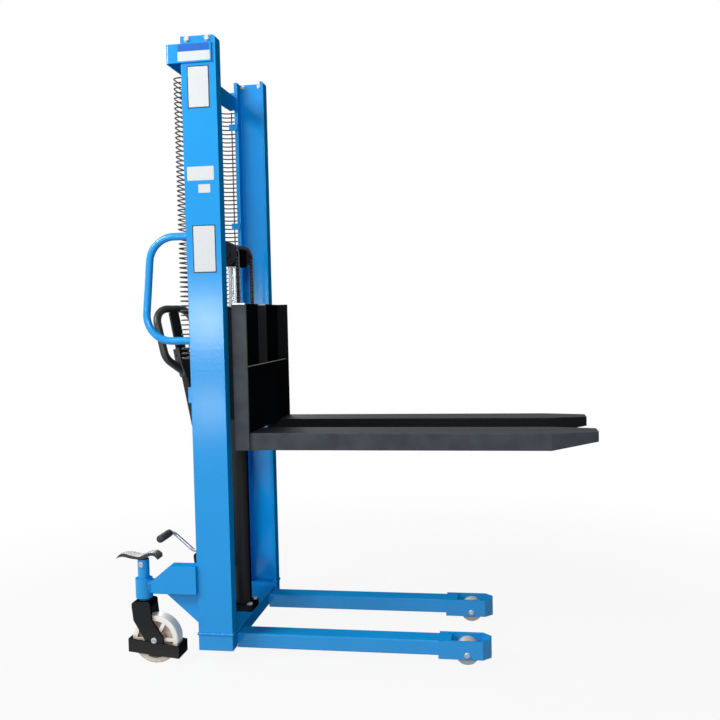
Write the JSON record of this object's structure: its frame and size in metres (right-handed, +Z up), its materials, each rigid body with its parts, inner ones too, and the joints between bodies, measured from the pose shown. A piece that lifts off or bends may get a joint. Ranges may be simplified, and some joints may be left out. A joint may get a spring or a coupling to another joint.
{
  "type": "hand pallet stacker",
  "caption": "Hand-pumped pallet stacker: channel mast on outrigger legs, chain-lifted fork carriage, hydraulic ram, tiller, foot pedal and swivel casters.",
  "frame": {"origin": "on the floor, under the middle of the machine's box", "axes": "+X along the forks towards their tips, +Y towards the operator's left, +Z up"},
  "size_m": [1.633, 0.7, 2.109],
  "materials": {
    "blue_paint": "satin",
    "black_paint": "satin",
    "black_plastic": "satin",
    "chrome": "polished",
    "zinc": "satin",
    "steel": "satin",
    "chain": "oiled",
    "nylon": "satin",
    "rubber": "matte"
  },
  "bodies": {
    "frame": {"mast_channel_right": "blue_paint", "mast_channel_left": "blue_paint", "mast_feet": "blue_paint", "head_band": "blue_paint", "top_tie": "blue_paint", "head_bolts": "zinc", "base_crossbeam": "blue_paint", "legs": "blue_paint", "leg_ends": "blue_paint", "front_roller_axles": "zinc", "caster_arms": "blue_paint", "swivel_collars": "blue_paint", "push_handles": "blue_paint", "mesh_guard": "black_paint", "guard_clips": "blue_paint", "cylinder_base": "black_paint", "base_bolts": "zinc", "cylinder_barrel": "black_paint", "gland_nut": "black_paint", "chain_anchor": "black_paint", "rear_chains": "chain", "pump_shelf": "blue_paint", "pump_body": "black_paint", "oil_pipe": "zinc"},
    "crosshead": {"piston_rod": "chrome", "crosshead": "black_paint", "chain_wraps": "chain", "front_chains": "chain"},
    "carriage": {"carriage_back_plate": "black_paint", "carriage_side_plates": "black_paint", "carriage_front_plate": "black_paint", "carriage_rib": "black_paint", "roller_brackets": "black_paint", "fork_right": "black_paint", "fork_left": "black_paint"},
    "tiller_yoke": {"tiller_yoke": "black_paint"},
    "tiller": {"tiller_shaft": "black_paint", "tiller_loop": "black_plastic"},
    "release_lever": {"release_lever": "black_paint"},
    "pump_plunger": {"pump_plunger": "chrome"},
    "foot_pedal": {"foot_pedal": "chrome", "foot_grip": "rubber"},
    "chain_wheel_right": {"chain_wheel_right": "steel"},
    "lower_mast_roller_right": {"lower_mast_roller_right": "steel"},
    "upper_mast_roller_right": {"upper_mast_roller_right": "steel"},
    "front_roller_right": {"front_roller_right": "nylon"},
    "caster_right": {"caster_fork_right": "black_paint", "king_tube_right": "blue_paint", "caster_bolts_right": "zinc"},
    "caster_wheel_right": {"caster_wheel_right": "nylon"},
    "chain_wheel_left": {"chain_wheel_left": "steel"},
    "lower_mast_roller_left": {"lower_mast_roller_left": "steel"},
    "upper_mast_roller_left": {"upper_mast_roller_left": "steel"},
    "front_roller_left": {"front_roller_left": "nylon"},
    "caster_left": {"caster_fork_left": "black_paint", "king_tube_left": "blue_paint", "caster_axle_left": "zinc", "king_cap_left": "black_plastic"},
    "caster_wheel_left": {"caster_wheel_left": "nylon"},
    "brake_pedal": {"brake_pedal": "rubber"}
  },
  "joints": [
    {"name": "rod_lift", "type": "slide", "parent": "frame", "child": "crosshead", "axis": [0, 0, 1], "range_m": [-0.3455, 0.4065], "deforming": ["rear_chains"]},
    {"name": "chain_lift", "type": "slide", "parent": "crosshead", "child": "carriage", "axis": [0, 0, 1], "range_m": [-0.3455, 0.4065], "deforming": ["front_chains"]},
    {"name": "chain_wheel_right_spin", "type": "hinge", "parent": "crosshead", "child": "chain_wheel_right", "pos_m": [-0.4575, -0.0879, 1.4065], "axis": [0, 1, 0], "continuous": true},
    {"name": "lower_mast_roller_right_spin", "type": "hinge", "parent": "carriage", "child": "lower_mast_roller_right", "pos_m": [-0.4635, -0.291, 0.88], "axis": [0, 1, 0], "continuous": true},
    {"name": "upper_mast_roller_right_spin", "type": "hinge", "parent": "carriage", "child": "upper_mast_roller_right", "pos_m": [-0.4635, -0.291, 1.17], "axis": [0, 1, 0], "continuous": true},
    {"name": "front_roller_right_spin", "type": "hinge", "parent": "frame", "child": "front_roller_right", "pos_m": [0.3845, -0.2125, 0.04], "axis": [0, 1, 0], "continuous": true},
    {"name": "caster_right_swivel", "type": "hinge", "parent": "frame", "child": "caster_right", "pos_m": [-0.7195, -0.308, 0.214], "axis": [0, 0, 1], "continuous": true},
    {"name": "caster_wheel_right_spin", "type": "hinge", "parent": "caster_right", "child": "caster_wheel_right", "pos_m": [-0.6755, -0.308, 0.082], "axis": [0, 1, 0], "continuous": true},
    {"name": "chain_wheel_left_spin", "type": "hinge", "parent": "crosshead", "child": "chain_wheel_left", "pos_m": [-0.4575, 0.0879, 1.4065], "axis": [0, 1, 0], "continuous": true},
    {"name": "lower_mast_roller_left_spin", "type": "hinge", "parent": "carriage", "child": "lower_mast_roller_left", "pos_m": [-0.4635, 0.291, 0.88], "axis": [0, 1, 0], "continuous": true},
    {"name": "upper_mast_roller_left_spin", "type": "hinge", "parent": "carriage", "child": "upper_mast_roller_left", "pos_m": [-0.4635, 0.291, 1.17], "axis": [0, 1, 0], "continuous": true},
    {"name": "front_roller_left_spin", "type": "hinge", "parent": "frame", "child": "front_roller_left", "pos_m": [0.3845, 0.2125, 0.04], "axis": [0, 1, 0], "continuous": true},
    {"name": "caster_left_swivel", "type": "hinge", "parent": "frame", "child": "caster_left", "pos_m": [-0.7195, 0.308, 0.214], "axis": [0, 0, 1], "continuous": true},
    {"name": "caster_wheel_left_spin", "type": "hinge", "parent": "caster_left", "child": "caster_wheel_left", "pos_m": [-0.6755, 0.308, 0.082], "axis": [0, 1, 0], "continuous": true},
    {"name": "brake_pedal_tilt", "type": "hinge", "parent": "caster_right", "child": "brake_pedal", "pos_m": [-0.7195, -0.308, 0.339], "axis": [0, 1, 0], "range_deg": [-8, 8]},
    {"name": "tiller_swing", "type": "hinge", "parent": "frame", "child": "tiller_yoke", "pos_m": [-0.5565, 0, 0.345], "axis": [0, 0, 1], "range_deg": [-6, 70]},
    {"name": "tiller_pump", "type": "hinge", "parent": "tiller_yoke", "child": "tiller", "pos_m": [-0.5565, 0, 0.395], "axis": [-0.5388, -0.8425, 0], "range_deg": [0, 58], "stiffness_Nm_per_rad": 30, "springref_deg": -28.65},
    {"name": "release_lever_squeeze", "type": "hinge", "parent": "tiller", "child": "release_lever", "pos_m": [-0.70761, 0.09664, 1.03743], "axis": [-0.5388, -0.8425, 0], "range_deg": [-12, 12], "stiffness_Nm_per_rad": 10},
    {"name": "plunger_stroke", "type": "slide", "parent": "frame", "child": "pump_plunger", "axis": [0, 0, -1], "range_m": [0, 0.025]},
    {"name": "foot_pedal_press", "type": "hinge", "parent": "frame", "child": "foot_pedal", "pos_m": [-0.5985, 0, 0.29], "axis": [0, -1, 0], "range_deg": [0, 22], "stiffness_Nm_per_rad": 6, "springref_deg": -28.65}
  ],
  "couplings": [
    {"joint": "chain_lift", "follows": "rod_lift", "ratio": 1},
    {"joint": "chain_wheel_right_spin", "follows": "rod_lift", "rad_per_m": 26.042},
    {"joint": "chain_wheel_left_spin", "follows": "rod_lift", "rad_per_m": 26.042},
    {"joint": "plunger_stroke", "follows": "tiller_pump", "m_per_rad": 0.024203}
  ]
}
